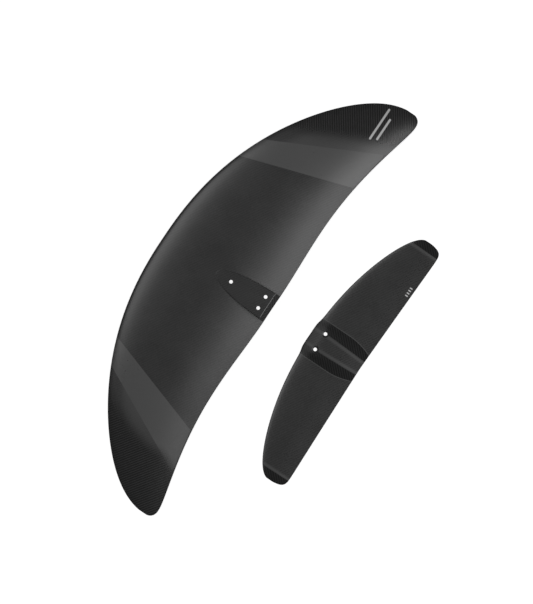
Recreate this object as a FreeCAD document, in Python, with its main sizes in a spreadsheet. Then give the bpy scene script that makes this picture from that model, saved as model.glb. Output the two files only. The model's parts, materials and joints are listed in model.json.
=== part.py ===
import FreeCAD, Part
import math
import os

# Hydrofoil wing set: a large front wing and a small rear stabiliser, both moulded
# carbon shells over foam cores. Millimetres. X runs along the span (+X is port),
# +Y runs aft, +Z is up. The origin is the midpoint of the front wing's aft bolt
# pair, on the flat top of its mounting pad.

Vector = FreeCAD.Vector
doc = FreeCAD.newDocument("hydrofoil_wing_set")


# ---------------------------------------------------------------- driving sizes

SIZES = [
    ("front_half_span", 422.0, "front wing, centre line to tip"),
    ("front_aft_shift", 0.0, "front wing's own zero line, aft of the origin"),
    ("front_tip_y", 34.0, "where leading and trailing edge meet at the tip"),
    ("front_le_root", 240.7, "leading edge ahead of the tip point, at the centre"),
    ("front_le_mid", 241.8, "the same, control value at mid span"),
    ("front_le_tip", 174.5, "the same, control value at the tip"),
    ("front_le_power", 2.5, "how late the leading edge rounds into the tip"),
    ("front_te_root", -13.6, "trailing edge behind the tip point, at the centre"),
    ("front_te_inner", -7.3, "the same, control value at a quarter of the span"),
    ("front_te_mid", -37.3, "the same, control value at half of the span"),
    ("front_te_outer", 1.6, "the same, control value at three quarters"),
    ("front_te_tip", 25.3, "the same, control value at the tip"),
    ("front_te_power", 36.0, "how late the trailing edge rounds into the tip"),
    ("front_crown", 1.0, "scale of the upper side's height"),
    ("front_belly", 1.0, "scale of the lower side's depth"),
    ("front_tip_thinning", 0.12, "share of thickness ratio lost at the tip"),
    ("front_droop", 48.0, "drop of the chord line at the tip"),
    ("front_droop_power", 2.3, "how late the tips curve down"),
    ("front_ridge_rise", 0.0, "extra height of a centre ridge, as a share"),
    ("front_ridge_nose", 0.0, "how far a centre ridge pushes the leading edge ahead"),
    ("front_skin", 1.3, "shell thickness"),
    ("front_heel_inset", 8.0, "solid trailing edge, where the two shells meet"),
    ("front_cap_height", 1.6, "thickness of a spar cap"),
    ("front_cap_fore", 0.24, "spar cap's front edge, share of the cavity's chord"),
    ("front_cap_aft", 0.46, "spar cap's aft edge, share of the cavity's chord"),
    ("rear_half_span", 250.0, "stabiliser, centre line to tip"),
    ("rear_aft_shift", 122.9, "stabiliser's bolt pair, aft of the front aft pair"),
    ("rear_tip_y", 58.0, "where leading and trailing edge meet at the tip"),
    ("rear_le_root", 77.4, "leading edge ahead of the tip point, at the centre"),
    ("rear_le_mid", 79.6, "the same, control value at mid span"),
    ("rear_le_tip", 61.9, "the same, control value at the tip"),
    ("rear_le_power", 2.0, "how late the leading edge rounds into the tip"),
    ("rear_te_root", 25.8, "trailing edge behind the tip point, at the centre"),
    ("rear_te_inner", 27.2, "the same, control value at a quarter of the span"),
    ("rear_te_mid", 28.8, "the same, control value at half of the span"),
    ("rear_te_outer", 30.6, "the same, control value at three quarters"),
    ("rear_te_tip", 32.3, "the same, control value at the tip"),
    ("rear_te_power", 50.0, "how late the trailing edge rounds into the tip"),
    ("rear_crown", 0.75, "scale of the upper side's height"),
    ("rear_belly", 1.35, "scale of the lower side's depth"),
    ("rear_tip_thinning", 0.08, "share of thickness ratio lost at the tip"),
    ("rear_droop", 5.0, "drop of the chord line at the tip"),
    ("rear_droop_power", 2.0, "how late the tips curve down"),
    ("rear_ridge_rise", 0.75, "extra height of the centre ridge, as a share"),
    ("rear_ridge_nose", 3.0, "how far the ridge pushes the leading edge ahead"),
    ("rear_skin", 1.0, "shell thickness"),
    ("rear_heel_inset", 6.0, "solid trailing edge, where the two shells meet"),
    ("rear_cap_height", 0.9, "thickness of a spar cap"),
    ("rear_cap_fore", 0.36, "spar cap's front edge, share of the cavity's chord"),
    ("rear_cap_aft", 0.54, "spar cap's aft edge, share of the cavity's chord"),
    ("rear_ridge_half", 30.0, "half width of the ridge at half its height"),
    ("rear_ridge_power", 8.0, "how sharply the ridge's flanks fall"),
    ("half_edge", 0.4, "half of the blunt trailing edge's thickness"),
    ("bond_gap", 0.1, "glue gap between bonded pieces"),
    ("strip_start", 0.9, "where foam gives way to the trailing strip, share of chord"),
    ("foam_reach", 0.88, "end of the foam, share of the half span"),
    ("cavity_reach", 0.95, "end of the cavity, share of the half span"),
    ("pad_half_width", 25.4, "mounting pad's half width at its aft end"),
    ("pad_length", 107.6, "mounting pad's flat top, nose to aft end"),
    ("pad_aft", 11.9, "aft end of the pad's flat top"),
    ("pad_draft", 1.4, "how much the pad widens down to the trailing edge"),
    ("pad_heel", 9.2, "length of the pad's sloping aft face, seen from above"),
    ("pad_wall", 2.6, "shell thickness of the pad over the root block"),
    ("bolt_hole_radius", 3.2, "clearance hole for an M6 bolt"),
    ("front_bolt_spacing", 23.4, "front aft bolt pair, hole to hole"),
    ("nose_bolt_y", -65.0, "front nose bolt, ahead of the aft pair"),
    ("rear_bolt_spacing", 32.3, "stabiliser bolt pair, hole to hole"),
    ("sleeve_radius", 5.0, "outside of a bolt sleeve"),
    ("cup_radius", 6.4, "outside of a sleeve's countersunk cup"),
    ("cup_depth", 4.2, "height of the countersunk cup"),
    ("sink_radius", 6.0, "countersink's mouth"),
    ("sink_depth", 2.8, "depth of the countersink"),
    ("cup_recess", 0.7, "how deep a cup's rim sits below the surface"),
    ("rear_seat_z", 18.0, "height of the stabiliser's seat above the pad's top"),
    ("rear_seat_depth", 6.8, "seat below the stabiliser's chord line"),
    ("rear_seat_half_width", 22.0, "half width of the seat"),
    ("rear_seat_margin", 9.0, "seat's distance from the edges of the wing"),
    ("rear_seat_corner", 8.0, "corner radius of the seat"),
    ("rear_block_half_width", 23.0, "half width of the stabiliser's root block"),
    ("rear_block_fore", -12.0, "root block's front end, from the bolt pair"),
    ("rear_block_aft", 12.0, "root block's aft end, from the bolt pair"),
]

sheet = doc.addObject("Spreadsheet::Sheet", "Sizes")


def write_sizes(rows, first_row):
    """Put named sizes on the sheet."""
    for row, (alias, value, meaning) in enumerate(rows, start=first_row):
        sheet.set(f"A{row}", alias)
        sheet.set(f"B{row}", str(value))
        sheet.set(f"C{row}", meaning)
        sheet.setAlias(f"B{row}", alias)
    doc.recompute()


write_sizes(SIZES, 1)


def size(alias):
    """One driving size, read from the sheet."""
    return float(sheet.get(alias))


GAP = size("bond_gap")


# ------------------------------------------------------- outline and wing section

# Height of the section over the chord line, as control values of a smooth curve
# that is multiplied by sqrt(s) * (1 - s): round nose, thin tail.
CROWN = (0.16, 0.17, 0.30, 0.22)
BELLY = (0.12, 0.07, 0.08, 0.03)
CURVE_POINTS = 12
SPAN_STEPS = 16
RIDGE_STEPS = 7
END_REACH = 0.9985
NOSE_INSET = 1.4    # cavity's distance from the leading edge, in shell thicknesses
CAVITY_EDGE = 0.4    # cavity's blunt end, as a share of the trailing edge's


def bernstein(weights, s):
    """Smooth curve over 0..1 that the weights pull into shape."""
    last = len(weights) - 1
    return sum(math.comb(last, i) * weight * s**i * (1 - s) ** (last - i)
               for i, weight in enumerate(weights))


def section_height(weights, s):
    """Height of one side of the wing section, as a share of the chord."""
    return math.sqrt(s) * (1 - s) * bernstein(weights, s)


def highest(weights):
    """Largest height of one side of the section."""
    return max(section_height(weights, i / 200) for i in range(201))


class Wing:
    """Outline, section and height of one wing, with its sizes from the sheet."""

    def __init__(self, name):
        self.name = name
        self.half_span = self.get("half_span")
        self.skin = self.get("skin")
        self.crown = self.get("crown")
        self.belly = self.get("belly")
        self.chord_z = 0.0

    def get(self, key):
        return size(f"{self.name}_{key}")

    def ridge(self, x):
        """1 on top of the centre ridge, 0 away from it."""
        return 1 / (1 + (abs(x) / size("rear_ridge_half")) ** size("rear_ridge_power"))

    def edges(self, x, inset=0.0):
        """Leading and trailing edge at station x, of the wing or of a cavity in it."""
        share = abs(x) / self.half_span
        fore = bernstein([self.get(k) for k in ("le_root", "le_mid", "le_tip")], share)
        aft_keys = ("te_root", "te_inner", "te_mid", "te_outer", "te_tip")
        aft = bernstein([self.get(k) for k in aft_keys], share)
        middle = self.get("aft_shift") + self.get("tip_y")
        nose = self.get("ridge_nose") * self.ridge(x)
        fore *= math.sqrt(1 - share ** self.get("le_power"))
        aft *= math.sqrt(1 - share ** self.get("te_power"))
        heel = self.get("heel_inset") + inset - self.skin if inset else 0.0
        return middle - fore - nose + NOSE_INSET * inset, middle + aft - heel

    def chord_height(self, x):
        """Height of the chord line at station x: the tips droop."""
        share = abs(x) / self.half_span
        return self.chord_z - self.get("droop") * share ** self.get("droop_power")

    def scale(self, x, side):
        """Height scale of the upper (side 1) or lower (side -1) surface."""
        share = abs(x) / self.half_span
        thinning = 1 - self.get("tip_thinning") * share**2
        if side > 0:
            return self.crown * thinning * (1 + self.get("ridge_rise") * self.ridge(x))
        return self.belly * thinning

    def surface(self, x, s, side, inset=0.0):
        """Point on the outer surface, or on the cavity's wall inset from it."""
        weights = CROWN if side > 0 else BELLY
        scale = self.scale(x, side)
        edge = size("half_edge") * s
        if inset:
            fore, aft = self.edges(x)
            scale *= 1 - inset / (highest(weights) * scale * (aft - fore))
            edge *= CAVITY_EDGE
        fore, aft = self.edges(x, inset)
        height = section_height(weights, s) * scale * (aft - fore)
        return Vector(x, fore + s * (aft - fore), self.chord_height(x) + side * (height + edge))

    def height_at(self, x, y, side, inset=0.0):
        """Height of the outer surface, or of the cavity's wall, above the point x, y."""
        fore, aft = self.edges(x, inset)
        return self.surface(x, (y - fore) / (aft - fore), side, inset).z


def stations(wing, reach):
    """Spanwise stations: closer together towards the tips and over a ridge."""
    last = math.asin(reach)
    outer = [wing.half_span * math.sin(last * i / SPAN_STEPS) for i in range(1, SPAN_STEPS + 1)]
    inner = []
    if wing.get("ridge_rise"):
        ridge_end = 1.5 * size("rear_ridge_half")
        inner = [ridge_end * i / RIDGE_STEPS for i in range(1, RIDGE_STEPS + 1)]
        outer = [x for x in outer if x > 1.3 * ridge_end]
    half = inner + outer
    return [-x for x in reversed(half)] + [0.0] + half


def spline(points):
    """Smooth edge through the points, with the same even knots in every section."""
    curve = Part.BSplineCurve()
    curve.interpolate(Points=points, Parameters=[float(i) for i in range(len(points))])
    return curve.toShape()


def spread(start, end):
    """Shares of the chord, bunched towards a round nose when they start at 0."""
    steps = [i / CURVE_POINTS for i in range(CURVE_POINTS + 1)]
    if start == 0:
        steps = [1 - math.cos(math.pi / 2 * step) for step in steps]
    return [start + (end - start) * step for step in steps]


def closed_wire(upper, lower):
    """Section between an upper and a lower row of points, both from fore to aft."""
    edges = [spline(upper), Part.makeLine(upper[-1], lower[-1]), spline(lower[::-1])]
    if upper[0].distanceToPoint(lower[0]) > 0.001:
        edges.append(Part.makeLine(lower[0], upper[0]))
    return Part.Wire(edges)


def half_wire(wing, x, side, gap):
    """Section of one moulded half, from the chord line out to the surface."""
    outer = [wing.surface(x, s, side) for s in spread(0, 1)]
    flat = [Vector(x, point.y, wing.chord_height(x) + side * gap) for point in outer]
    outer[0] = Vector(flat[0])
    edges = [spline(outer), Part.makeLine(outer[-1], flat[-1]), Part.makeLine(flat[-1], flat[0])]
    return Part.Wire(edges)


def cavity_wire(wing, x, inset, start, end):
    """Section of the cavity, or of what fills a stretch of it."""
    upper = [wing.surface(x, s, 1, inset) for s in spread(start, end)]
    lower = [wing.surface(x, s, -1, inset) for s in spread(start, end)]
    return closed_wire(upper, lower)


def cap_wire(wing, x, side, near, far, margin):
    """Section of a flat band that lies along the cavity's upper or lower wall."""
    start = wing.get("cap_fore") - margin
    end = wing.get("cap_aft") + margin
    wall = [wing.surface(x, s, side, wing.skin) for s in spread(start, end)]
    outside = [point - Vector(0, 0, side * near) for point in wall]
    inside = [point - Vector(0, 0, side * far) for point in wall]
    return closed_wire(outside, inside)


def loft(name, wing, reach, wire, *arguments):
    """Solid through the wing's sections, from tip to tip."""
    feature = doc.addObject("Part::Feature", name)
    wires = [wire(wing, x, *arguments) for x in stations(wing, reach)]
    feature.Shape = Part.makeLoft(wires, True, False)
    feature.Placement = FreeCAD.Placement()
    return feature


# ------------------------------------------------- heights that follow from the sizes

front = Wing("front")
rear = Wing("rear")
front.chord_z = -max(front.surface(0, i / 200, 1).z for i in range(201))
rear.chord_z = size("rear_seat_z") + size("rear_seat_depth")

pair_x = size("front_bolt_spacing") / 2
rear_x = size("rear_bolt_spacing") / 2
rear_y = size("rear_aft_shift")
recess = size("cup_recess")
block_top = -size("pad_wall") - GAP

write_sizes([
    ("front_chord_z", front.chord_z, "front chord line: the section's crest is at the pad's top"),
    ("rear_chord_z", rear.chord_z, "stabiliser's chord line"),
    ("pad_floor_z", front.chord_z + 1.8 * GAP, "pad's lower end, inside the upper moulding"),
    ("pair_mouth_z", front.height_at(pair_x, 0, -1) + recess, "aft sleeves' rims, underside"),
    ("nose_mouth_z", front.height_at(0, size("nose_bolt_y"), -1) + recess, "nose sleeve's rim"),
    ("rear_mouth_z", rear.height_at(rear_x, rear_y, 1) - recess, "stabiliser cups' rims, top"),
    ("rear_tube_z", rear.height_at(rear_x, rear_y, -1, rear.skin) + 2 * GAP, "cups' lower ends"),
    ("rear_nose_y", rear.edges(0)[0], "stabiliser's leading edge at the centre"),
    ("rear_tail_y", rear.edges(0)[1], "stabiliser's trailing edge at the centre"),
    ("block_top_z", block_top, "top of the front root block"),
], len(SIZES) + 1)


# --------------------------------------------------------- document object helpers

finished = {}


def bind(item, **expressions):
    """Tie an object's properties to the sheet."""
    for key, expression in expressions.items():
        item.setExpression(key.replace("_", "."), expression)
    return item


def primitive(kind, name, **expressions):
    """Part primitive whose sizes are tied to the sheet."""
    return bind(doc.addObject(f"Part::{kind}", name), **expressions)


def place(item, x="0", y="0", z="0"):
    """Tie an object's place to the sheet."""
    return bind(item, Placement_Base_x=x, Placement_Base_y=y, Placement_Base_z=z)


def carve(name, base, *tools):
    """Base without the tools, taken away one after another."""
    for number, tool in enumerate(tools, start=1):
        result = doc.addObject("Part::Cut", f"{name}_{number}")
        result.Base = base
        result.Tool = tool
        base = result
    return base


def mill(name, base, *tools):
    """Base without the tools, cut exactly: the recesses in the foam are shallow."""
    doc.recompute()
    feature = doc.addObject("Part::Feature", name)
    shape = base.Shape
    for tool in tools:
        shape = shape.cut(tool.Shape)
    feature.Shape = shape
    feature.Placement = FreeCAD.Placement()
    return feature


def common(name, base, tool):
    """What base and tool share."""
    result = doc.addObject("Part::Common", name)
    result.Base = base
    result.Tool = tool
    return result


def fuse(name, *shapes):
    """All the shapes as one."""
    result = doc.addObject("Part::MultiFuse", name)
    result.Shapes = list(shapes)
    return result


def compound(name, *shapes):
    """Separate solids of one group."""
    result = doc.addObject("Part::Compound", name)
    result.Links = list(shapes)
    return result


def keep(node, feature):
    """Name a finished sub-part."""
    feature.Label = node
    finished[node] = feature


def upright(name, x, y, low, high, radius):
    """Upright cylinder between two heights."""
    post = primitive("Cylinder", name, Radius=radius, Height=f"{high} - ({low})")
    return place(post, x, y, low)


# ------------------------------------------------------------------ wing sandwich

def build_halves(wing):
    """Solid upper and lower mouldings, and the cavity between them."""
    top = loft(f"{wing.name}_top_half", wing, END_REACH, half_wire, 1, 0.0)
    bottom = loft(f"{wing.name}_bottom_half", wing, END_REACH, half_wire, -1, 0.6 * GAP)
    reach = size("cavity_reach")
    cavity = loft(f"{wing.name}_cavity", wing, reach, cavity_wire, wing.skin, 0, 1)
    return top, bottom, cavity


def build_caps(wing):
    """Carbon spar caps under both skins; returns the recesses they need in the foam."""
    recesses = []
    thickness = wing.get("cap_height")
    reach = size("foam_reach")
    for label, side in (("top", 1), ("bottom", -1)):
        name = f"{wing.name}_cap_{label}"
        cap = loft(name, wing, reach, cap_wire, side, GAP, GAP + thickness, 0.0)
        keep(f"{wing.name}_spar_cap_{label}", cap)
        depth = thickness + 2 * GAP
        recesses.append(loft(f"{name}_recess", wing, reach + 0.01, cap_wire, side, -1, depth, 0.002))
    return recesses


def side_zones(wing, label, start, end):
    """Tall boxes over one stretch of the span, to port (+X) and to starboard (-X)."""
    zones = []
    for side, left in (("port", start), ("starboard", f"-({end})")):
        box = primitive("Box", f"{wing.name}_{label}_{side}", Length=f"{end} - ({start})",
                        Width="Sizes.front_half_span", Height="Sizes.front_half_span")
        middle = "Sizes.front_half_span / 2"
        place(box, left, f"Sizes.{wing.name}_aft_shift - {middle}", f"-{middle}")
        zones.append((side, box))
    return zones


def build_filling(wing, block_room):
    """Foam cores, solid tips and trailing strips, each in a port and a starboard piece."""
    name = wing.name
    reach = size("cavity_reach") - 0.002
    inset = wing.skin + GAP
    start = size("strip_start")
    filling = loft(f"{name}_filling", wing, reach, cavity_wire, inset, 0, 1)
    foam = loft(f"{name}_foam", wing, reach, cavity_wire, inset, 0, start)
    strip = loft(f"{name}_strip", wing, reach, cavity_wire, inset, start + 0.002, 1)
    foam = mill(f"{name}_foam_milled", foam, block_room, *build_caps(wing))
    strip = carve(f"{name}_strip_milled", strip, block_room)
    foam_end = f"Sizes.foam_reach * Sizes.{name}_half_span"
    for side, zone in side_zones(wing, "core_zone", "Sizes.bond_gap", foam_end):
        keep(f"{name}_core_{side}", common(f"{name}_core_cut_{side}", foam, zone))
        keep(f"{name}_trailing_strip_{side}", common(f"{name}_strip_cut_{side}", strip, zone))
    for side, zone in side_zones(wing, "tip_zone", f"{foam_end} + Sizes.bond_gap", f"{foam_end} * 1.2"):
        keep(f"{name}_tip_filler_{side}", common(f"{name}_tip_cut_{side}", filling, zone))
    return filling


# ------------------------------------------------------------------ bolts' sleeves

def build_sleeve(name, x, y, mouth, end, facing):
    """Countersunk sleeve round one bolt, and the room it needs.

    Its cup opens at the mouth, up (facing 1) or down (facing -1); its tube stops at end.
    """
    sign = "" if facing > 0 else "-"

    def along(*steps):
        """Height some way into the wing from the mouth."""
        return f"{mouth} - ({sign}(" + " + ".join(steps) + "))"

    def post(label, first, last, radius):
        """Cylinder between two heights, given in either order."""
        low, high = (last, first) if facing > 0 else (first, last)
        return upright(f"{name}_{label}", x, y, low, high, radius)

    outside = f"{mouth} + {sign}(5 * Sizes.cup_radius)"
    beyond = f"{end} - ({sign}(5 * Sizes.cup_radius))"
    cup = post("cup", mouth, along("Sizes.cup_depth"), "Sizes.cup_radius")
    tube = post("tube", mouth, end, "Sizes.sleeve_radius")
    bolt_bore = post("bore", outside, beyond, "Sizes.bolt_hole_radius")
    wide, narrow = "Sizes.sink_radius", "Sizes.bolt_hole_radius"
    sink = primitive("Cone", f"{name}_sink", Height="Sizes.sink_depth",
                     Radius1=narrow if facing > 0 else wide, Radius2=wide if facing > 0 else narrow)
    place(sink, x, y, along("Sizes.sink_depth") if facing > 0 else mouth)
    body = fuse(f"{name}_body", cup, tube)
    sleeve = carve(f"{name}_turned", body, bolt_bore, sink)
    cup_room = post("cup_room", outside, along("Sizes.cup_depth", "Sizes.bond_gap"),
                    "Sizes.cup_radius + Sizes.bond_gap")
    tube_end = f"{end} - ({sign}Sizes.bond_gap)"
    tube_room = post("tube_room", mouth, tube_end, "Sizes.sleeve_radius + Sizes.bond_gap")
    return sleeve, bolt_bore, fuse(f"{name}_room", cup_room, tube_room)


def build_sleeves(wing, node, bolts, facing):
    """All the sleeves of one wing as one group; returns their bores and rooms."""
    built = [build_sleeve(f"{wing.name}_{label}", x, y, mouth, end, facing)
             for label, x, y, mouth, end in bolts]
    sleeves, bores, rooms = zip(*built)
    keep(node, compound(f"{wing.name}_sleeves", *sleeves))
    return bores, rooms


# ---------------------------------------------------------------------- front wing

def ellipse(name, across, along, y, z):
    """Flat ellipse with its long axis fore and aft."""
    outline = primitive("Ellipse", name, MajorRadius=along, MinorRadius=across)
    outline.Placement = FreeCAD.Placement(Vector(), FreeCAD.Rotation(Vector(0, 0, 1), 90))
    return place(outline, "0", y, z)


def build_pad():
    """Raised mounting pad: half an ellipse in plan, flat on top, with a sloping aft face."""
    crest = ellipse("pad_crest", "Sizes.pad_half_width", "Sizes.pad_length", "Sizes.pad_aft", "0")
    foot = ellipse("pad_foot", "Sizes.pad_half_width + Sizes.pad_draft",
                   "Sizes.pad_length + Sizes.pad_heel + Sizes.pad_draft",
                   "Sizes.pad_aft + Sizes.pad_heel", "Sizes.pad_floor_z")
    boss = doc.addObject("Part::Loft", "pad_boss")
    boss.Sections = [crest, foot]
    boss.Solid = True
    boss.Ruled = True
    # Side view of the pad, swept across the wing: its aft end slopes down to the foot.
    # The wedge's own Y is turned up, and its own Z then points ahead.
    wedge = primitive("Wedge", "pad_side", Xmin="-2 * Sizes.pad_half_width",
                      Xmax="2 * Sizes.pad_half_width", X2min="-2 * Sizes.pad_half_width",
                      X2max="2 * Sizes.pad_half_width", Ymin="Sizes.pad_floor_z", Ymax="0",
                      Zmin="-Sizes.pad_aft - Sizes.pad_heel", Zmax="2 * Sizes.pad_length",
                      Z2min="-Sizes.pad_aft", Z2max="2 * Sizes.pad_length")
    wedge.Placement = FreeCAD.Placement(Vector(), FreeCAD.Rotation(Vector(1, 0, 0), 90))
    return common("pad", boss, wedge)


def block_prism(name, grow):
    """Upright half ellipse inside the pad's walls, as tall as the wing."""
    floor = "2 * Sizes.front_chord_z"
    outline = ellipse(f"{name}_outline", f"Sizes.pad_half_width - Sizes.pad_wall + {grow}",
                      f"Sizes.pad_length - 2 * Sizes.pad_wall + {grow}",
                      "Sizes.pad_aft - Sizes.pad_wall", floor)
    prism = doc.addObject("Part::Extrusion", f"{name}_prism")
    prism.Base = outline
    prism.DirMode = "Custom"
    prism.Dir = Vector(0, 0, 1)
    prism.Solid = True
    bind(prism, LengthFwd=f"Sizes.block_top_z - ({floor}) + {grow}")
    front_part = primitive("Box", f"{name}_front_part", Length="4 * Sizes.pad_half_width",
                           Width="2 * Sizes.pad_length", Height="-4 * Sizes.front_chord_z")
    aft_end = f"Sizes.pad_aft - Sizes.pad_wall + {grow}"
    place(front_part, "-2 * Sizes.pad_half_width", f"{aft_end} - 2 * Sizes.pad_length",
          "3 * Sizes.front_chord_z")
    return common(f"{name}_half", prism, front_part)


def build_front():
    """Front wing: bolts come up from below, through the pad, into the fuselage."""
    top, bottom, cavity = build_halves(front)
    block_room = block_prism("block_room", "Sizes.bond_gap")
    filling = build_filling(front, block_room)
    half_pair = "Sizes.front_bolt_spacing / 2"
    bolts = [
        ("port_bolt", half_pair, "0", "Sizes.pair_mouth_z", "Sizes.block_top_z"),
        ("starboard_bolt", f"-{half_pair}", "0", "Sizes.pair_mouth_z", "Sizes.block_top_z"),
        ("nose_bolt", "0", "Sizes.nose_bolt_y", "Sizes.nose_mouth_z", "Sizes.block_top_z"),
    ]
    bores, rooms = build_sleeves(front, "front_bolt_sleeves", bolts, -1)
    moulding = fuse("front_top_moulding", top, build_pad())
    keep("front_top_skin", carve("front_top_shell", moulding, cavity, block_room, *bores))
    keep("front_bottom_skin", carve("front_bottom_shell", bottom, cavity, *rooms))
    # Above the chord line the block fills the pad, below it only the cavity.
    above = primitive("Box", "block_above", Length="4 * Sizes.pad_half_width",
                      Width="3 * Sizes.pad_length", Height="-2 * Sizes.front_chord_z")
    place(above, "-2 * Sizes.pad_half_width", "-2 * Sizes.pad_length",
          "Sizes.front_chord_z + 2 * Sizes.bond_gap")
    inside = fuse("block_inside", filling, above)
    block = common("block_blank", block_prism("block", "0"), inside)
    keep("front_root_block", carve("block_drilled", block, *rooms))


# ---------------------------------------------------------------------- stabiliser

def build_seat():
    """Flat seat moulded under the stabiliser, with round corners."""
    margin = "Sizes.rear_seat_margin"
    box = primitive("Box", "seat_box", Length="2 * Sizes.rear_seat_half_width",
                    Width=f"Sizes.rear_tail_y - Sizes.rear_nose_y - 2 * {margin}",
                    Height="Sizes.rear_seat_depth - 3 * Sizes.bond_gap")
    place(box, "-Sizes.rear_seat_half_width", f"Sizes.rear_nose_y + {margin}", "Sizes.rear_seat_z")
    doc.recompute()
    corners = doc.addObject("Part::Fillet", "seat_corners")
    corners.Base = box
    upright_edges = [i for i, edge in enumerate(box.Shape.Edges, start=1)
                     if abs(edge.tangentAt(0).z) > 0.9]
    radius = size("rear_seat_corner")
    corners.Edges = [(i, radius, radius) for i in upright_edges]
    return corners


def rear_block_box(name, grow):
    """Box round the two bolts of the stabiliser, as tall as the wing."""
    half = f"(Sizes.rear_block_half_width + {grow})"
    box = primitive("Box", name, Length=f"2 * {half}",
                    Width=f"Sizes.rear_block_aft - Sizes.rear_block_fore + 2 * {grow}",
                    Height="4 * Sizes.rear_seat_depth")
    return place(box, f"-{half}", f"Sizes.rear_aft_shift + Sizes.rear_block_fore - {grow}",
                 "Sizes.rear_chord_z - 2 * Sizes.rear_seat_depth")


def build_rear():
    """Stabiliser: bolts go down through the ridge into the fuselage tail."""
    top, bottom, cavity = build_halves(rear)
    filling = build_filling(rear, rear_block_box("rear_block_room", "Sizes.bond_gap"))
    half_pair = "Sizes.rear_bolt_spacing / 2"
    bolts = [(label, x, "Sizes.rear_aft_shift", "Sizes.rear_mouth_z", "Sizes.rear_tube_z")
             for label, x in (("port_bolt", half_pair), ("starboard_bolt", f"-{half_pair}"))]
    bores, rooms = build_sleeves(rear, "rear_bolt_cups", bolts, 1)
    keep("rear_top_skin", carve("rear_top_shell", top, cavity, *rooms))
    moulding = fuse("rear_bottom_moulding", bottom, build_seat())
    keep("rear_bottom_skin", carve("rear_bottom_shell", moulding, cavity, *bores))
    block = common("rear_block_blank", rear_block_box("rear_block", "0"), filling)
    keep("rear_root_block", carve("rear_block_drilled", block, *rooms, *bores))


# -------------------------------------------------------------- build, check, export

build_front()
build_rear()
doc.recompute()

failed = [item.Name for item in doc.Objects if {"Invalid", "Error"} & set(item.State)]
for node, feature in finished.items():
    shape = feature.Shape
    if shape.isNull() or not shape.isValid() or not shape.Solids:
        failed.append(node)
if failed:
    raise RuntimeError(f"failed: {failed}")

os.makedirs("parts", exist_ok=True)
for node, feature in finished.items():
    feature.Shape.exportStep(f"parts/{node}.step")
    print(f"{node}: {len(feature.Shape.Solids)} solid(s), {feature.Shape.Volume:.0f} mm3")
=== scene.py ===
"""Looks of the hydrofoil wing set: front wing and stabiliser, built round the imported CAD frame.

Sizes are millimetres until a mesh is made, as in the CAD source; everything in Blender is metres.
X runs along the span (+X is port), +Y runs aft, +Z is up.
"""

import json
import math

import bmesh
import bpy
import numpy as np
from mathutils import Matrix, Vector

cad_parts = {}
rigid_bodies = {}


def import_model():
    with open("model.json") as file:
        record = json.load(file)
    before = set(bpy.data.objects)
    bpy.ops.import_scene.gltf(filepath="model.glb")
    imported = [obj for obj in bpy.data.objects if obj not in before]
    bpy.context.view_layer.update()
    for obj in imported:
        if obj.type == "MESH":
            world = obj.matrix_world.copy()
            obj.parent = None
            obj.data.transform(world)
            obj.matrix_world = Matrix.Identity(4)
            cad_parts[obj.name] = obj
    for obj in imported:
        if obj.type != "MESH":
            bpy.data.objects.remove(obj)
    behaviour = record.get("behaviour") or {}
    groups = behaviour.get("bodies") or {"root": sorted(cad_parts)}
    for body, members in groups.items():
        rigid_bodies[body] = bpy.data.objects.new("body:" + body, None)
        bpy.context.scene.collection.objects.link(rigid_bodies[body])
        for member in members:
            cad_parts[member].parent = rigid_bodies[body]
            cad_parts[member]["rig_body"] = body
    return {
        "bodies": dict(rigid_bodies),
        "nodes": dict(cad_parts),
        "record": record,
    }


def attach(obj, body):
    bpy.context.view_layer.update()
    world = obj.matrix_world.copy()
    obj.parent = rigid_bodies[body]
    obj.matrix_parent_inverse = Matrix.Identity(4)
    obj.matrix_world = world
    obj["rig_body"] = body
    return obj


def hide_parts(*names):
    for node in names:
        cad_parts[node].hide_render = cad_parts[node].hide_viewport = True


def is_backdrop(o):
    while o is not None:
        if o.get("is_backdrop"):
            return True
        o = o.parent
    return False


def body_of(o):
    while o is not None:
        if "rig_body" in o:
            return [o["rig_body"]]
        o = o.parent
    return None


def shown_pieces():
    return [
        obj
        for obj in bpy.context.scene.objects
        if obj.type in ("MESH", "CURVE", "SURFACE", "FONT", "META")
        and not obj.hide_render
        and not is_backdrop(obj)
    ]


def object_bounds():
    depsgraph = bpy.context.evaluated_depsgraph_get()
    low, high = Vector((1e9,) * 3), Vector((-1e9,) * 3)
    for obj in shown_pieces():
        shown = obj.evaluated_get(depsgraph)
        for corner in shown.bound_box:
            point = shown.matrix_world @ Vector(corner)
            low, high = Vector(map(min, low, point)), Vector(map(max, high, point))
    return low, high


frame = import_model()
cad_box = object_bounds()

MM = 0.001

# ------------------------------------------------------------------ wing shapes

CROWN = (0.16, 0.17, 0.30, 0.22)
BELLY = (0.12, 0.07, 0.08, 0.03)
HALF_EDGE = 0.4
BOND_GAP = 0.06
END_REACH = 0.9985
TIP_ROUND = 0.993       # from here to the end the section closes to a rounded edge
CAVITY_REACH = 0.95
RIDGE_HALF = 30.0
RIDGE_POWER = 8.0

FRONT = dict(half_span=422.0, middle_y=34.0, le=(240.7, 241.8, 174.5), le_power=2.5,
             te=(-13.6, -7.3, -37.3, 1.6, 25.3), te_power=36.0, crown=1.0, belly=1.0,
             thinning=0.12, droop=48.0, droop_power=2.3, rise=0.0, nose=0.0, skin=1.3)
REAR = dict(half_span=250.0, middle_y=180.9, le=(77.4, 79.6, 61.9), le_power=2.0,
            te=(25.8, 27.2, 28.8, 30.6, 32.3), te_power=50.0, crown=0.75, belly=1.35,
            thinning=0.08, droop=5.0, droop_power=2.0, rise=0.75, nose=3.0, skin=1.0)
BOLT_RADIUS = 3.2
CUP_ROOM = 6.5
PAIR_X = 11.7
NOSE_Y = -65.0
REAR_X = 16.15
REAR_Y = 122.9
SEAT_Z = 18.0
REAR_CHORD_Z = 24.8

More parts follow.
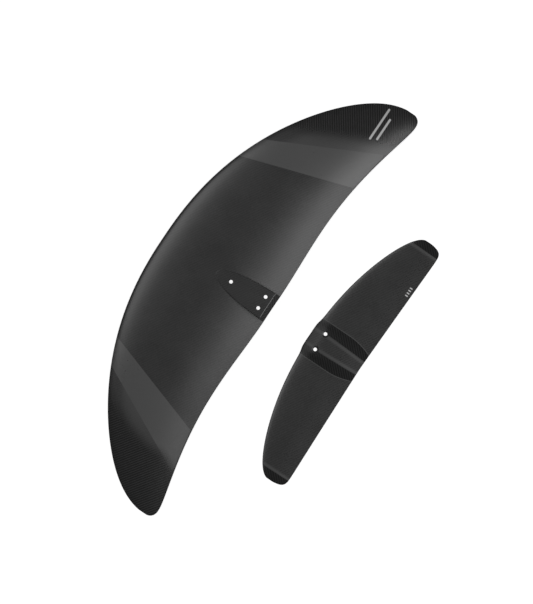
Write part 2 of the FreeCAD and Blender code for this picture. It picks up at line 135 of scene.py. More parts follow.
PAD_HALF_WIDTH = 25.4
PAD_LENGTH = 107.6
PAD_AFT = 11.9
PAD_DRAFT = 1.4
PAD_HEEL = 9.2
PAD_WALL = 2.6
PAD_EDGE = 0.9          # rounding along the pad's top


def bernstein(weights, s):
    """Smooth curve over 0..1 that the weights pull into shape."""
    last = len(weights) - 1
    return sum(math.comb(last, i) * weight * s**i * (1 - s) ** (last - i)
               for i, weight in enumerate(weights))


def section(weights, s):
    """Height of one side of the wing section, as a share of the chord."""
    return np.sqrt(s) * (1 - s) * bernstein(weights, s)


class Wing:
    """Outline, section and height of one wing, as numpy formulas."""

    def __init__(self, sizes, chord_z):
        self.__dict__.update(sizes)
        self.chord_z = chord_z

    def ridge(self, x):
        """1 on top of the centre ridge, 0 away from it."""
        return 1 / (1 + (np.abs(x) / RIDGE_HALF) ** RIDGE_POWER)

    def edges(self, x):
        """Leading and trailing edge at station x."""
        share = np.abs(x) / self.half_span
        fore = bernstein(self.le, share) * np.sqrt(1 - share**self.le_power)
        aft = bernstein(self.te, share) * np.sqrt(1 - share**self.te_power)
        return self.middle_y - fore - self.nose * self.ridge(x), self.middle_y + aft

    def chord_height(self, x):
        """Height of the chord line at station x: the tips droop."""
        return self.chord_z - self.droop * (np.abs(x) / self.half_span) ** self.droop_power

    def height(self, x, s, side):
        """Height of the outer surface over the chord line, up or down."""
        share = np.abs(x) / self.half_span
        scale = 1 - self.thinning * share**2
        scale = scale * (self.crown * (1 + self.rise * self.ridge(x)) if side > 0 else self.belly)
        fore, aft = self.edges(x)
        closing = np.clip((share - TIP_ROUND) / (END_REACH - TIP_ROUND), 0, 1)
        weights = CROWN if side > 0 else BELLY
        raised = section(weights, s) * scale * (aft - fore) + HALF_EDGE * s
        return raised * np.sqrt(1 - closing**2)

    def point(self, x, s, side, wall=None):
        """Points on the outer surface, or on the inner wall that far below it."""
        fore, aft = self.edges(x)
        height = self.height(x, s, side)
        if wall is not None:
            open_span = np.clip((CAVITY_REACH - np.abs(x) / self.half_span) / 0.02, 0, 1)
            height = np.maximum(height - wall, 0) * open_span
        start = 0 if side > 0 else BOND_GAP
        z = self.chord_height(x) + side * (height + start)
        return np.stack([x + 0 * s, fore + s * (aft - fore), z], axis=-1)


front = Wing(FRONT, 0.0)
front.chord_z = -float(front.height(0.0, np.linspace(0, 1, 401), 1).max())
rear = Wing(REAR, REAR_CHORD_Z)


def stations(wing, count, ridge_count=0):
    """Spanwise stations: closer together towards the tips and over a ridge."""
    outer = wing.half_span * np.sin(math.asin(END_REACH) * np.arange(1, count + 1) / count)
    if ridge_count:
        ridge_end = 1.5 * RIDGE_HALF
        inner = ridge_end * np.arange(1, ridge_count + 1) / ridge_count
        outer = np.concatenate([inner, outer[outer > ridge_end * 1.02]])
    return np.concatenate([-outer[::-1], [0.0], outer])


# ------------------------------------------------------------------ mesh helpers

def make_object(name, points, faces):
    """Mesh object from points in millimetres."""
    mesh = bpy.data.meshes.new(name)
    mesh.from_pydata((np.asarray(points) * MM).tolist(), [], faces)
    mesh.update()
    item = bpy.data.objects.new(name, mesh)
    bpy.context.scene.collection.objects.link(item)
    return item


def shell(name, wing, side, span_count, chord_count, ridge_count=0):
    """Closed moulded shell: the outer surface and the inner wall share one grid."""
    x = stations(wing, span_count, ridge_count)
    s = 1 - np.cos(np.pi / 2 * np.arange(chord_count + 1) / chord_count)
    s[-1] = 1.0
    grid_x, grid_s = np.meshgrid(x, s, indexing="ij")
    outer = wing.point(grid_x, grid_s, side)
    inner = wing.point(grid_x, grid_s, side, wing.skin)
    rows, columns = grid_x.shape
    outside = np.arange(rows * columns).reshape(rows, columns)
    inside = outside + rows * columns
    inside[:, 0] = outside[:, 0]                # the walls meet on the leading edge
    inside[0, :] = outside[0, :]                # and at both tips
    inside[-1, :] = outside[-1, :]
    points = np.concatenate([outer.reshape(-1, 3), inner.reshape(-1, 3)])
    faces = []
    for i in range(rows - 1):
        for j in range(columns - 1):
            out = (outside[i, j], outside[i + 1, j], outside[i + 1, j + 1], outside[i, j + 1])
            back = (inside[i, j + 1], inside[i + 1, j + 1], inside[i + 1, j], inside[i, j])
            faces += [out, back]
        last = columns - 1
        faces.append((outside[i, last], outside[i + 1, last], inside[i + 1, last], inside[i, last]))
    faces = [tidy for tidy in (tuple(dict.fromkeys(int(v) for v in face)) for face in faces)
             if len(tidy) > 2]
    if side < 0:
        faces = [face[::-1] for face in faces]
    item = make_object(name, points, faces)
    clean(item)
    return item


def clean(item):
    """No loose points, no doubled points, and every face looking outwards."""
    work = bmesh.new()
    work.from_mesh(item.data)
    bmesh.ops.delete(work, geom=[v for v in work.verts if not v.link_faces], context="VERTS")
    bmesh.ops.dissolve_degenerate(work, edges=work.edges, dist=1e-7)
    bmesh.ops.recalc_face_normals(work, faces=work.faces)
    work.to_mesh(item.data)
    work.free()


def lathe(name, x, y, profile, steps=72):
    """Solid of revolution about an upright axis; profile is (radius, height), bottom to top."""
    angles = [2 * math.pi * i / steps for i in range(steps)]
    points = [(x + r * math.cos(a), y + r * math.sin(a), z) for r, z in profile for a in angles]
    faces = [(k * steps + i, k * steps + (i + 1) % steps, (k + 1) * steps + (i + 1) % steps,
              (k + 1) * steps + i) for k in range(len(profile) - 1) for i in range(steps)]
    top = (len(profile) - 1) * steps
    faces += [tuple(reversed(range(steps))), tuple(range(top, top + steps))]
    return make_object(name, points, faces)


def rings(name, outlines):
    """Closed solid through outlines of the same number of points, bottom to top."""
    count = len(outlines[0])
    points = [point for outline in outlines for point in outline]
    faces = [(k * count + i, k * count + (i + 1) % count, (k + 1) * count + (i + 1) % count,
              (k + 1) * count + i) for k in range(len(outlines) - 1) for i in range(count)]
    top = (len(outlines) - 1) * count
    faces += [tuple(reversed(range(count))), tuple(range(top, top + count))]
    item = make_object(name, points, faces)
    clean(item)
    return item


def combine(item, tool, operation):
    """Exact boolean with a tool that is used up."""
    modifier = item.modifiers.new("combine", "BOOLEAN")
    modifier.operation = operation
    modifier.solver = "EXACT"
    modifier.object = tool
    bpy.context.view_layer.update()
    evaluated = item.evaluated_get(bpy.context.evaluated_depsgraph_get())
    mesh = bpy.data.meshes.new_from_object(evaluated)
    item.modifiers.clear()
    old = item.data
    item.data = mesh
    bpy.data.meshes.remove(old)
    bpy.data.objects.remove(tool)


def finish_mesh(item, angle=32):
    """Smooth shading with the real edges kept crisp."""
    item.data.shade_smooth()
    item.data.set_sharp_from_angle(angle=math.radians(angle))


# ------------------------------------------------------------------ the pad

def pad_outline(level, inset=0.0, z=None):
    """Half ellipse with a straight aft side; level 0 is the pad's top, 1 its foot."""
    half_width = PAD_HALF_WIDTH + PAD_DRAFT * level - inset
    aft = PAD_AFT + PAD_HEEL * level - inset
    length = PAD_LENGTH + (PAD_HEEL + PAD_DRAFT) * level - 2 * inset
    z = front.chord_z * level if z is None else z
    curve = [(half_width * math.cos(a), aft - length * math.sin(a), z)
             for a in np.linspace(0, math.pi, 97)]
    straight = [(half_width * (2 * t - 1), aft, z) for t in np.linspace(0, 1, 13)[1:-1]]
    return (curve + straight)[::-1]


def make_pad():
    """Raised mounting pad with a rounded upper edge."""
    depth = abs(front.chord_z)
    walls = [pad_outline(level) for level in np.linspace(0.99, PAD_EDGE / depth, 5)]
    edge = [pad_outline(PAD_EDGE / depth * (1 - math.sin(a)), PAD_EDGE * (1 - math.cos(a)),
                        -PAD_EDGE * (1 - math.sin(a))) for a in np.linspace(0, math.pi / 2, 7)[1:]]
    return rings("pad", walls + edge)


def block_room():
    """Room for the root block below the pad's top."""
    def outline(z):
        curve = [((PAD_HALF_WIDTH - PAD_WALL) * math.cos(a),
                  PAD_AFT - PAD_WALL - (PAD_LENGTH - 2 * PAD_WALL) * math.sin(a), z)
                 for a in np.linspace(0, math.pi, 65)]
        return curve[::-1]
    return rings("block_room", [outline(front.chord_z - 3), outline(-PAD_WALL)])


# ------------------------------------------------------------------ skins

def drill(name, x, y, low, rim, chamfer=0.35):
    """Cutter for a bolt hole with a broken edge at its upper rim."""
    profile = [(BOLT_RADIUS, low), (BOLT_RADIUS, rim - chamfer), (BOLT_RADIUS + chamfer, rim),
               (BOLT_RADIUS + chamfer + 3, rim + 3)]
    return lathe(name, x, y, profile)


def post(name, x, y, low, high, radius):
    """Plain round cutter."""
    return lathe(name, x, y, [(radius, low), (radius, high)])


FRONT_BOLTS = ((PAIR_X, 0.0), (-PAIR_X, 0.0), (0.0, NOSE_Y))
REAR_BOLTS = ((REAR_X, REAR_Y), (-REAR_X, REAR_Y))


def front_top():
    """Upper front skin with the pad, three bolt holes and room for the root block."""
    item = shell("front_top_shell", front, 1, 150, 84)
    combine(item, make_pad(), "UNION")
    combine(item, block_room(), "DIFFERENCE")
    for x, y in FRONT_BOLTS:
        combine(item, drill("drill", x, y, -40, 0), "DIFFERENCE")
    return item


def front_bottom():
    """Lower front skin, open round the three bolt sleeves."""
    item = shell("front_bottom_shell", front, -1, 150, 70)
    for x, y in FRONT_BOLTS:
        combine(item, post("post", x, y, -60, front.chord_z + 2, CUP_ROOM), "DIFFERENCE")
    return item


def rear_top():
    """Upper stabiliser skin with the ridge, open round the two bolt cups."""
    item = shell("rear_top_shell", rear, 1, 110, 64, ridge_count=44)
    for x, y in REAR_BOLTS:
        combine(item, post("post", x, y, 20, 60, CUP_ROOM), "DIFFERENCE")
    return item


def seat_outline(grow, z):
    """Rounded rectangle of the fuselage seat."""
    half_width = 22.0 + grow
    corner = 8.0 + grow
    fore, aft = rear.edges(0.0)
    low, high = fore + 9 - grow, aft - 9 + grow
    points = []
    for turn, (sx, cy) in enumerate(((1, high), (-1, high), (-1, low), (1, low))):
        centre_x = sx * (half_width - corner)
        centre_y = cy - corner if cy == high else cy + corner
        for a in np.linspace(0, math.pi / 2, 9):
            angle = turn * math.pi / 2 + a
            points.append((centre_x + corner * math.cos(angle),
                           centre_y + corner * math.sin(angle), z))
    return points


def rear_bottom():
    """Lower stabiliser skin with the flat seat and two bolt holes."""
    item = shell("rear_bottom_shell", rear, -1, 110, 56, ridge_count=30)
    edge = 0.6
    seat = rings("seat", [seat_outline(-edge, SEAT_Z), seat_outline(0, SEAT_Z + edge),
                          seat_outline(0, REAR_CHORD_Z - 0.3)])
    combine(item, seat, "UNION")
    for x, y in REAR_BOLTS:
        combine(item, post("post", x, y, 5, 40, BOLT_RADIUS), "DIFFERENCE")
    return item


# ------------------------------------------------------------------ surface fields

class Field:
    """A number that varies over a surface; arithmetic on it adds Math nodes."""

    def __init__(self, tree, socket):
        self.tree = tree
        self.socket = socket

    def math(self, operation, *others):
        """One Math node with this field as its first input."""
        node = self.tree.nodes.new("ShaderNodeMath")
        node.operation = operation
        for slot, value in enumerate((self, *others)):
            if isinstance(value, Field):
                self.tree.links.new(value.socket, node.inputs[slot])
            else:
                node.inputs[slot].default_value = value
        return Field(self.tree, node.outputs[0])

    def __add__(self, other):
        return self.math("ADD", other)

    def __sub__(self, other):
        return self.math("SUBTRACT", other)

    def __rsub__(self, other):
        return (self * -1) + other

    def __mul__(self, other):
        return self.math("MULTIPLY", other)

    def __truediv__(self, other):
        return self.math("DIVIDE", other)

    def __pow__(self, other):
        return self.math("POWER", other)

    def __abs__(self):
        return self.math("ABSOLUTE")

    __radd__ = __add__
    __rmul__ = __mul__

    def least(self, other):
        """The smaller of the two."""
        return self.math("MINIMUM", other)

    def most(self, other):
        """The larger of the two."""
        return self.math("MAXIMUM", other)

    def ramp(self, start, end, smooth=True):
        """0 up to start, 1 from end on."""
        node = self.tree.nodes.new("ShaderNodeMapRange")
        node.interpolation_type = "SMOOTHSTEP" if smooth else "LINEAR"
        node.inputs["From Min"].default_value = start
        node.inputs["From Max"].default_value = end
        self.tree.links.new(self.socket, node.inputs["Value"])
        return Field(self.tree, node.outputs["Result"])


class Surface:
    """A Principled material whose inputs are worked out from the place on the object, in mm."""

    def __init__(self, name, **constants):
        self.material = bpy.data.materials.new(name)
        self.material.use_nodes = True
        self.tree = self.material.node_tree
        self.shader = self.tree.nodes["Principled BSDF"]
        for key, value in constants.items():
            self.shader.inputs[key].default_value = value
        coordinates = self.tree.nodes.new("ShaderNodeTexCoord")
        scale = self.tree.nodes.new("ShaderNodeVectorMath")
        scale.operation = "SCALE"
        scale.inputs["Scale"].default_value = 1 / MM
        self.tree.links.new(coordinates.outputs["Object"], scale.inputs[0])
        split = self.tree.nodes.new("ShaderNodeSeparateXYZ")
        self.tree.links.new(scale.outputs[0], split.inputs[0])
        self.place = scale.outputs[0]
        self.x, self.y, self.z = (Field(self.tree, out) for out in split.outputs)

    def noise(self, period, detail=3.0, stretch=(1, 1, 1)):
        """Cloudy noise from 0 to 1; period is its size in mm."""
        mapping = self.tree.nodes.new("ShaderNodeMapping")
        mapping.inputs["Scale"].default_value = [k / period for k in stretch]
        self.tree.links.new(self.place, mapping.inputs["Vector"])
        node = self.tree.nodes.new("ShaderNodeTexNoise")
        node.inputs["Scale"].default_value = 1.0
        node.inputs["Detail"].default_value = detail
        self.tree.links.new(mapping.outputs[0], node.inputs["Vector"])
        return Field(self.tree, node.outputs[0])

    def cells(self, period):
        """Distance to the nearest cell centre."""
        node = self.tree.nodes.new("ShaderNodeTexVoronoi")
        node.inputs["Scale"].default_value = 1 / period
        self.tree.links.new(self.place, node.inputs["Vector"])
        return Field(self.tree, node.outputs[0])

    def colour(self, shade, dark, light):
        """Base colour between two colours."""
        node = self.tree.nodes.new("ShaderNodeMix")
        node.data_type = "RGBA"
        node.inputs["A"].default_value = (*dark, 1)
        node.inputs["B"].default_value = (*light, 1)
        self.tree.links.new(shade.socket, node.inputs["Factor"])
        return node.outputs["Result"]

    def blend(self, factor, below, above):
        """One colour socket over another."""
        node = self.tree.nodes.new("ShaderNodeMix")
        node.data_type = "RGBA"
        self.tree.links.new(factor.socket, node.inputs["Factor"])
        for key, value in (("A", below), ("B", above)):
            if isinstance(value, tuple):
                node.inputs[key].default_value = (*value, 1)
            else:
                self.tree.links.new(value, node.inputs[key])
        return node.outputs["Result"]

    def finish(self, colour, roughness, relief=None, depth=0.1):
        """Connect the shader; relief is a height from 0 to 1, depth its size in mm."""
        self.tree.links.new(colour, self.shader.inputs["Base Color"])
        self.tree.links.new(roughness.socket, self.shader.inputs["Roughness"])
        if relief is not None:
            bump = self.tree.nodes.new("ShaderNodeBump")
            bump.inputs["Strength"].default_value = 1.0
            bump.inputs["Distance"].default_value = depth * MM
            self.tree.links.new(relief.socket, bump.inputs["Height"])
            self.tree.links.new(bump.outputs[0], self.shader.inputs["Normal"])
        return self.material


# ------------------------------------------------------------------ carbon and paint

TOW = 1.4               # width of one tow in the 2x2 twill cloth
TOW_WAVER = 3.0         # how far a tow wanders, in tows
TIP_TURN = 100          # turn of the cloth in degrees: on the front tips, mirrored
UNDER_TURN = 104        # under the paint
RIDGE_TURN = 0          # on the stabiliser
RELIEF = 0.035          # depth of the surface's unevenness
IMPRINT = 0.15          # how much of the cloth's relief shows through the paint
GLOSS = 0.30            # roughness of the satin paint
SOFT = 0.3              # half width of a painted edge

CLOTH = (0.0005, 0.0005, 0.0005)
# light end of the bare cloth: painted sheen on the tow crowns
CLOTH_SHEEN_PAINTED = (0.0280, 0.0280, 0.0282)
PAINT = (0.0030, 0.0030, 0.0030)
# pale end of the paint: lighter tone, and painted sheen where the cloth's crowns show through
PAINT_PALE_AND_SHEEN = (0.0270, 0.0270, 0.0270)
BAND = (0.0470, 0.0470, 0.0470)
BAND_LIT = (0.0520, 0.0520, 0.0520)
MARK = (0.30, 0.30, 0.30)

# The stabiliser's paint and cloth are the front wing's, recoloured as painted light and shade: its
# paint painted lighter, its cloth sheen painted darker.
REAR_CLOTH_SHEEN_SHADED_COPY = (0.0190, 0.0190, 0.0191)
REAR_PAINT_LIT_COPY = (0.0050, 0.0050, 0.0050)
REAR_PAINT_PALE_AND_SHEEN_LIT_COPY = (0.0430, 0.0430, 0.0430)
# pale line along the flanks' outer side, and the colour of the stabiliser's painted highlights
REAR_PALE_LINE_AND_HIGHLIGHT = (0.0750, 0.0750, 0.0750)
REAR_MARK = (0.45, 0.45, 0.45)

BAND_INNER = ((193.0, -170.0), (254.0, 17.5))       # sides of the slanted band, in plan
BAND_OUTER = ((240.8, -152.0), (332.0, 31.0))
BAND_AFT = ((254.0, 20.5), (331.0, 34.5))
BAND_CORNER = 5.0
FADE = (14, 40)         # outboard of the band, the paint fades to bare cloth over this distance
PAINTED_HIGHLIGHT_FADE = (2, 36)           # and a soft painted highlight fades out over this one

FLANK_OUTER = 36.3      # bare strip on each flank of the ridge, from the centre line
FLANK_INNER = 17.7
FLANK_CURL = 13.5       # how far its outer side turns in towards the trailing edge
FLANK_DRIFT = 3.8       # how far its inner side does
BARE_TIP = 234          # bare tips of the stabiliser start here


def twill(surface, span, degrees):
    """2x2 twill: which tow is on top, and the height of the cloth."""
    waver = (surface.noise(90, 1.0) - 0.5) * TOW_WAVER
    turn = math.cos(math.radians(degrees)) / TOW
    lean = math.sin(math.radians(degrees)) / TOW
    along = span * turn + surface.y * lean + waver
    across = surface.y * turn - span * lean + waver
    step = along.math("FLOOR") - across.math("FLOOR")
    wrapped = step - (step / 4).math("FLOOR") * 4
    warp = wrapped.math("LESS_THAN", 1.5)
    crown_along = (along.math("FRACT") * math.pi).math("SINE")
    crown_across = (across.math("FRACT") * math.pi).math("SINE")
    height = warp * crown_across + (1 - warp) * crown_along
    return warp, height


def cloth_colour(surface, warp, height, lit):
    """Bare carbon cloth under clear resin, its raised tow crowns painted lighter as a painted sheen."""
    # painted sheen: the raised warp crowns are coloured lighter
    painted_sheen = height * (warp * 0.75 + 0.25)
    return surface.colour(painted_sheen * (surface.noise(9, 2) * 0.5 + 0.7), CLOTH, lit)


def rounded_limit(first, second, radius):
    """Distance outside both limits, with a round corner where they meet."""
    a = (first + radius).most(0)
    b = (second + radius).most(0)
    inside = (first + radius).most(second + radius).least(0)
    return (a * a + b * b).math("SQRT") + inside - radius


def line_distance(x, y, start, end):
    """Distance to the right of the line from start to end, in plan."""
    dx, dy = end[0] - start[0], end[1] - start[1]
    length = math.hypot(dx, dy)
    return (x - start[0]) * (dy / length) - (y - start[1]) * (dx / length)


def satin(surface, cloud, grain, imprint, dark, light):
    """Satin paint: clouds and fine grain in its tone, and the cloth showing through a little, its
    crowns painted lighter as a painted sheen.
    """
    warp, height = imprint
    # the cloth's crowns are painted lighter: painted sheen
    return surface.colour(cloud * 0.3 + grain * 0.6 + warp * height * 0.4, dark, light)


def band_mask(outer, inner, aft):
    """1 on the slanted band, from the distances outside its three sides."""
    edge = rounded_limit(outer, aft, BAND_CORNER).most(inner * -1)
    return 1 - edge.ramp(-SOFT, SOFT)


def painted_highlight_mask(surface, span, outer, port_aft_painted_shade):
    """Painted highlight: a soft light patch beside the band, clear of the leading edge, weaker on the
    port aft side.
    """
    lead = surface.y + 152 - (span - 240) * 0.58
    beside = (1 - outer.ramp(*PAINTED_HIGHLIGHT_FADE)) * outer.ramp(-1, 0)
    return beside * lead.ramp(8, 34) * (1 - port_aft_painted_shade * 0.7)


def bare_mask(surface, span, outer, port_aft_painted_shade):
    """1 on bare cloth: the tips, and the steep face behind the pad; on the port aft side the bare cloth
    reaches further in as painted shade.
    """
    tips = (outer + port_aft_painted_shade * 22 + surface.y.ramp(-30, 20) * 8).ramp(*FADE)
    heel_width = PAD_HALF_WIDTH + PAD_DRAFT / 2
    heel = (1 - span.ramp(heel_width - 0.6, heel_width + 0.4)) * (surface.y - PAD_AFT).ramp(-SOFT, SOFT)
    return tips.most(heel)


def front_paint():
    """Satin paint that fades to bare twill at the tips, with a lighter slanted band and a painted
    highlight beside it.
    """
    surface = Surface("front_paint", IOR=1.5)
    span = abs(surface.x)
    warp, height = twill(surface, span, TIP_TURN)
    imprint = twill(surface, surface.x, UNDER_TURN)
    grain = surface.noise(2.4, 2)
    cloud = surface.noise(55, 3)
    inner = line_distance(span, surface.y, *BAND_INNER)
    outer = line_distance(span, surface.y, *BAND_OUTER)
    aft = line_distance(span, surface.y, *BAND_AFT) * -1
    # painted shade: the port side's aft part is darker, where the bare cloth reaches further in and the
    # painted highlight is weaker
    port_aft_painted_shade = surface.x.ramp(-50, 50) * surface.y.ramp(-80, 10)
    top_side = (surface.z - front_chord(span)).ramp(-0.2, 0.2)
    band = band_mask(outer, inner, aft)
    bare = bare_mask(surface, span, outer, port_aft_painted_shade)
    paint = satin(surface, cloud, grain, imprint, PAINT, PAINT_PALE_AND_SHEEN)
    band_and_highlight_colour = surface.colour(cloud * 0.5 + grain * 0.5, BAND, BAND_LIT)
    # painted highlight beside the band, in the band's colour
    paint = surface.blend(painted_highlight_mask(surface, span, outer, port_aft_painted_shade) * 0.6, paint, band_and_highlight_colour)
    colour = surface.blend(band * top_side, paint, band_and_highlight_colour)
    colour = surface.blend(bare, colour, cloth_colour(surface, warp, height, CLOTH_SHEEN_PAINTED))
    colour = surface.blend(tip_mark(surface) * top_side, colour, MARK)
    roughness = (grain - 0.5) * 0.10 + cloud * 0.06 + GLOSS - bare * 0.09 - band * 0.03
    relief = height * bare * 0.35 + (imprint[1] * IMPRINT + grain * 0.5) * (1 - bare)
    return surface.finish(colour, roughness, relief, RELIEF)


def front_chord(span):
    """Height of the front wing's chord line, as a field."""
    return (span / front.half_span) ** front.droop_power * -front.droop + front.chord_z


def tip_mark(surface):
    """Two plain parallel lines near the starboard tip, with rounded ends."""
    half_width, rounding, edge = 1.9, 1.6, 0.35
    lines = []
    for centre_x, centre_y, reach in ((-374, -3, 32), (-370, 8, 22)):
        along = abs(surface.x - centre_x) - reach
        beside = abs(surface.y - centre_y) - half_width
        lines.append(1 - rounded_limit(along, beside, rounding).ramp(-edge, edge))
    return lines[0].most(lines[1])


def size_ticks(surface):
    """Row of small plain ticks near the stabiliser's trailing edge."""
    pitch, count, start = 5.0, 4, -168.0
    row_y, half_height, half_tick = 203, 2.6, 0.2       # half_tick is a share of the pitch
    run = (surface.x - start) / pitch
    inside = 1 - (abs(run - count / 2) - count / 2).ramp(-0.01, 0.01)
    tick = 1 - (abs(run.math("FRACT") - 0.5) - half_tick).ramp(-0.05, 0.05)
    tall = 1 - (abs(surface.y - row_y) - half_height).ramp(-SOFT, SOFT)
    return inside * tick * tall


def rear_paint():
    """Satin paint with bare twill on the ridge's flanks and at the tips, and painted highlights along
    the ridge's top and inboard of the tips.
    """
    surface = Surface("rear_paint", IOR=1.5)
    span = abs(surface.x)
    warp, height = twill(surface, surface.x, RIDGE_TURN)
    imprint = twill(surface, surface.x, UNDER_TURN)
    grain = surface.noise(2.4, 2)
    cloud = surface.noise(40, 3)
    drooped = surface.z + (span / rear.half_span) ** 2 * rear.droop
    top_side = (drooped - REAR_CHORD_Z - 0.1).ramp(-0.2, 0.2)
    curl = surface.y.ramp(160, 215, smooth=False) ** 2 * FLANK_CURL
    drift = (surface.y - 100).ramp(0, 107, smooth=False) ** 1.6 * FLANK_DRIFT
    outer = span + curl - FLANK_OUTER
    inner = span + drift - FLANK_INNER
    flank = inner.ramp(-0.5, 0.5) * (1 - outer.ramp(-0.4, 0.4)) * top_side
    outline = (1 - (abs(outer - 0.6) - 0.5).ramp(-0.4, 0.4)) * top_side
    # painted highlight along both edges of the ridge's painted top
    ridge_painted_highlight = (1 - (abs(inner + 3.5) / 5).ramp(0, 1)) * (1 - inner.ramp(-1, 0)) * top_side
    tip = (span - BARE_TIP + (surface.y - 165) * 0.02).ramp(-0.6, 0.6)
    # painted highlight just inboard of the bare tips
    tip_painted_highlight = (1 - (abs(span - BARE_TIP + 3) / 5).ramp(0, 1)) * (1 - tip)
    bare = flank.most(tip)
    # paint painted lighter than the front wing's same paint
    paint = satin(surface, cloud, grain, imprint, REAR_PAINT_LIT_COPY, REAR_PAINT_PALE_AND_SHEEN_LIT_COPY)
    colour = surface.blend(ridge_painted_highlight * 0.55, paint, REAR_PALE_LINE_AND_HIGHLIGHT)
    colour = surface.blend(tip_painted_highlight * 0.6, colour, REAR_PALE_LINE_AND_HIGHLIGHT)
    # bare cloth with a darker painted sheen
    colour = surface.blend(bare, colour, cloth_colour(surface, warp, height, REAR_CLOTH_SHEEN_SHADED_COPY))
    colour = surface.blend(outline * 0.8, colour, REAR_PALE_LINE_AND_HIGHLIGHT)
    colour = surface.blend(size_ticks(surface) * top_side, colour, REAR_MARK)
    ridge = 1 - span.ramp(30, 42)
    matt_nose = ridge * (1 - surface.y.ramp(110, 124)) * 0.26
    glossy_tail = surface.y.ramp(150, 195) * (ridge * 0.07 + 0.05)
    roughness = (grain - 0.5) * 0.10 + cloud * 0.06 + GLOSS - bare * 0.05 + matt_nose - glossy_tail
    relief = height * bare * 0.35 + (imprint[1] * IMPRINT + grain * 0.5) * (1 - bare)
    return surface.finish(colour, roughness, relief, RELIEF)


# ------------------------------------------------------------------ inner materials

def turned_steel():
    """Fine turning rings round an upright axis, slightly uneven."""
    surface = Surface("turned_steel", Metallic=1.0)
    rings_field = (surface.z * 14 + surface.noise(3, 2) * 2).math("SINE") * 0.5 + 0.5
    spots = surface.noise(1.2, 3)
    colour = surface.colour(spots, (0.42, 0.42, 0.43), (0.60, 0.60, 0.61))
    return surface.finish(colour, rings_field * 0.08 + spots * 0.15 + 0.2, rings_field, 0.02)


def black_anodised():
    """Black anodised aluminium with faint turning rings."""
    surface = Surface("black_anodised")
    rings_field = (surface.z * 16).math("SINE") * 0.5 + 0.5
    spots = surface.noise(0.8, 3)
    colour = surface.colour(spots, (0.016, 0.016, 0.017), (0.034, 0.034, 0.035))
    return surface.finish(colour, spots * 0.15 + 0.52, rings_field, 0.015)


def milled_foam():
    """Closed-cell foam: small cells, cream coloured, with broad darker clouds."""
    surface = Surface("milled_foam")
    cells = surface.cells(1.1)
    cloud = surface.noise(30, 3)
    colour = surface.colour(cells * 0.7 + cloud * 0.4, (0.72, 0.62, 0.42), (0.50, 0.42, 0.27))
    return surface.finish(colour, cells * 0.1 + 0.85, 1 - cells, 0.25)


def cut_laminate():
    """Solid glass and carbon laminate, its plies showing as thin level lines."""
    surface = Surface("cut_laminate")
    waver = (surface.noise(18, 2) - 0.5) * 2.5
    ply = ((surface.z + waver * 0.2) * (math.pi / 0.35)).math("SINE") * 0.5 + 0.5
    speck = surface.noise(0.7, 3)
    colour = surface.colour(ply * 0.6 + speck * 0.4, (0.016, 0.017, 0.014), (0.055, 0.056, 0.046))
    return surface.finish(colour, ply * 0.12 + speck * 0.1 + 0.35, ply, 0.04)


def carbon_tape():
    """Unidirectional carbon: streaks along the span."""
    surface = Surface("carbon_tape")
    streak = surface.noise(1.0, 3, stretch=(0.02, 1, 1))
    fine = surface.noise(0.3, 2, stretch=(0.02, 1, 1))
    colour = surface.colour(streak * 0.6 + fine * 0.4, (0.006, 0.006, 0.007), (0.035, 0.035, 0.037))
    return surface.finish(colour, streak * 0.18 + 0.26, fine, 0.03)


# ------------------------------------------------------------------ put together

def dress(item, material):
    """Give an object one material, whatever it had."""
    item.data.materials.clear()
    item.data.materials.append(material)


def stand_for(item, material, node, body):
    """Finish a moulded shell and let it take its CAD node's place."""
    finish_mesh(item)
    dress(item, material)
    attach(item, body)
    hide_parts(node)


def make_skins():
    """The four moulded shells."""
    paint_front = front_paint()
    paint_rear = rear_paint()
    stand_for(front_top(), paint_front, "front_top_skin", "front_wing")
    stand_for(front_bottom(), paint_front, "front_bottom_skin", "front_wing")
    stand_for(rear_top(), paint_rear, "rear_top_skin", "stabiliser")
    stand_for(rear_bottom(), paint_rear, "rear_bottom_skin", "stabiliser")


def dress_inner_nodes():
    """Materials for the CAD nodes inside the shells, by the record's slots."""
    makers = {"solid_laminate": cut_laminate, "sleeve_metal": turned_steel,
              "black_cup": black_anodised, "foam": milled_foam, "carbon_tape": carbon_tape}
    made = {slot: maker() for slot, maker in makers.items()}
    for part in frame["record"]["subparts"]:
        if part["material_slot"] in made:
            item = frame["nodes"][part["node"]]
            dress(item, made[part["material_slot"]])


# ------------------------------------------------------------------ studio

RIGHT = Vector((-0.5576, 0.8301, 0.0))      # the camera's right and up, in the model's frame
UP = Vector((-0.8301, -0.5576, 0.0))
VIEW_HEIGHT = 1.0555                        # metres across the picture's taller side
VIEW_CENTRE = Vector((-0.0052, 0.0062, 0.0))
CAMERA_DISTANCE = 32.0
SENSOR = 36.0
LIGHT_DISTANCE = 5.0
WORLD_LIGHT = 0.16
FLOOR_HALF = 12.0
FLOOR_GAP = 0.0006      # between the floor and the lowest point of the CAD
FLOOR_GLOW = 0.93

AFT = Vector((-0.2, 0.98, 0))
FORE = Vector((0, -1, 0))
# name, direction, degrees from straight above, size in metres, radiance, the body it lights
LIGHTS = (
    ("soft_aft", AFT, 49, (4.0, 3.4), 7.0, "front_wing"),
    ("soft_low", AFT, 68, (4.0, 2.0), 12.0, "stabiliser"),
    ("soft_fore", FORE, 42, (4.6, 2.8), 2.6, "front_wing"),
    ("soft_fore_small", FORE, 42, (4.6, 2.8), 2.5, "stabiliser"),
)


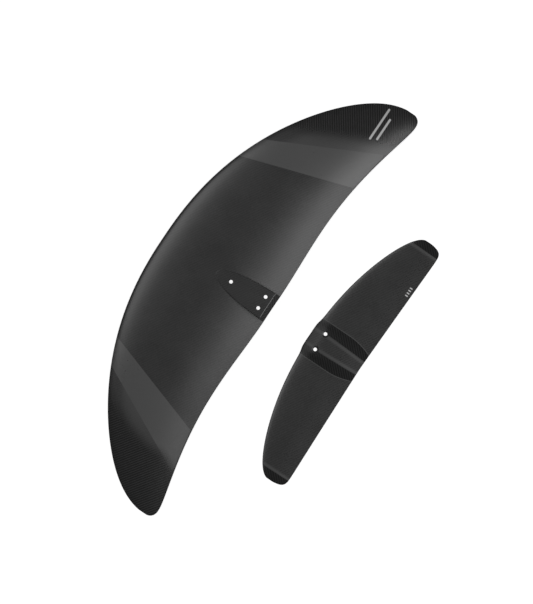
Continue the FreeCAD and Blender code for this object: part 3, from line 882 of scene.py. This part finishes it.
def make_camera():
    """Long lens looking straight down, turned so that both wings lie slanted."""
    data = bpy.data.cameras.new("camera")
    data.sensor_width = SENSOR
    data.lens = SENSOR * CAMERA_DISTANCE / VIEW_HEIGHT
    data.clip_end = 2 * CAMERA_DISTANCE
    camera = bpy.data.objects.new("camera", data)
    turn = Matrix((RIGHT, UP, RIGHT.cross(UP))).transposed().to_4x4()
    camera.matrix_world = Matrix.Translation(VIEW_CENTRE + Vector((0, 0, CAMERA_DISTANCE))) @ turn
    bpy.context.scene.collection.objects.link(camera)
    bpy.context.scene.camera = camera


def softbox(name, direction, lean, width, radiance, receivers):
    """Large area light for one collection, leaning from straight above towards direction."""
    data = bpy.data.lights.new(name, "AREA")
    data.shape = "RECTANGLE"
    data.size, data.size_y = width
    data.energy = radiance * math.pi * width[0] * width[1]
    lamp = bpy.data.objects.new(name, data)
    target = Vector((0, -0.05, 0))
    toward = direction * math.sin(math.radians(lean)) + Vector((0, 0, math.cos(math.radians(lean))))
    lamp.location = target + toward * LIGHT_DISTANCE
    lamp.rotation_euler = toward.to_track_quat("Z", "Y").to_euler()
    bpy.context.scene.collection.objects.link(lamp)
    lamp.light_linking.receiver_collection = receivers


def make_floor():
    """Plain pale floor, evenly bright, that doesn't mirror in the paint."""
    low = float(cad_box[0][2])
    mesh = bpy.data.meshes.new("floor")
    work = bmesh.new()
    bmesh.ops.create_grid(work, x_segments=8, y_segments=8, size=FLOOR_HALF)
    work.to_mesh(mesh)
    work.free()
    floor = bpy.data.objects.new("floor", mesh)
    floor.location.z = low - FLOOR_GAP
    bpy.context.scene.collection.objects.link(floor)
    surface = Surface("floor")
    cloud = surface.noise(400, 2)
    colour = surface.colour(cloud, (0.90, 0.90, 0.90), (0.93, 0.93, 0.93))
    surface.shader.inputs["Emission Color"].default_value = (1, 1, 1, 1)
    surface.shader.inputs["Emission Strength"].default_value = FLOOR_GLOW
    mesh.materials.append(surface.finish(colour, cloud * 0.1 + 0.85))
    floor.visible_glossy = False
    floor.visible_diffuse = False
    floor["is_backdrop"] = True


def make_world(strength):
    """Even, weak light from all round, with a pale backdrop behind the object."""
    world = bpy.data.worlds.new("world")
    world.use_nodes = True
    nodes, links = world.node_tree.nodes, world.node_tree.links
    background = nodes["Background"]
    background.inputs["Color"].default_value = (1.0, 1.0, 1.0, 1)
    path = nodes.new("ShaderNodeLightPath")
    brightness = nodes.new("ShaderNodeMapRange")
    brightness.inputs["To Min"].default_value = strength
    brightness.inputs["To Max"].default_value = 1.0
    links.new(path.outputs["Is Camera Ray"], brightness.inputs["Value"])
    links.new(brightness.outputs["Result"], background.inputs["Strength"])
    bpy.context.scene.world = world


def make_studio():
    """Camera, floor, world, and lights that each light one wing only."""
    make_camera()
    make_floor()
    make_world(WORLD_LIGHT)
    wings = {}
    for body in frame["bodies"]:
        wings[body] = bpy.data.collections.new(body)
        bpy.context.scene.collection.children.link(wings[body])
        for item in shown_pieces():
            if body in (body_of(item) or ()):
                wings[body].objects.link(item)
    for name, direction, lean, size, radiance, body in LIGHTS:
        softbox(name, direction, lean, size, radiance, wings[body])
    bpy.context.scene.view_settings.view_transform = "Standard"
    bpy.context.scene.view_settings.look = "None"


make_skins()
dress_inner_nodes()
make_studio()
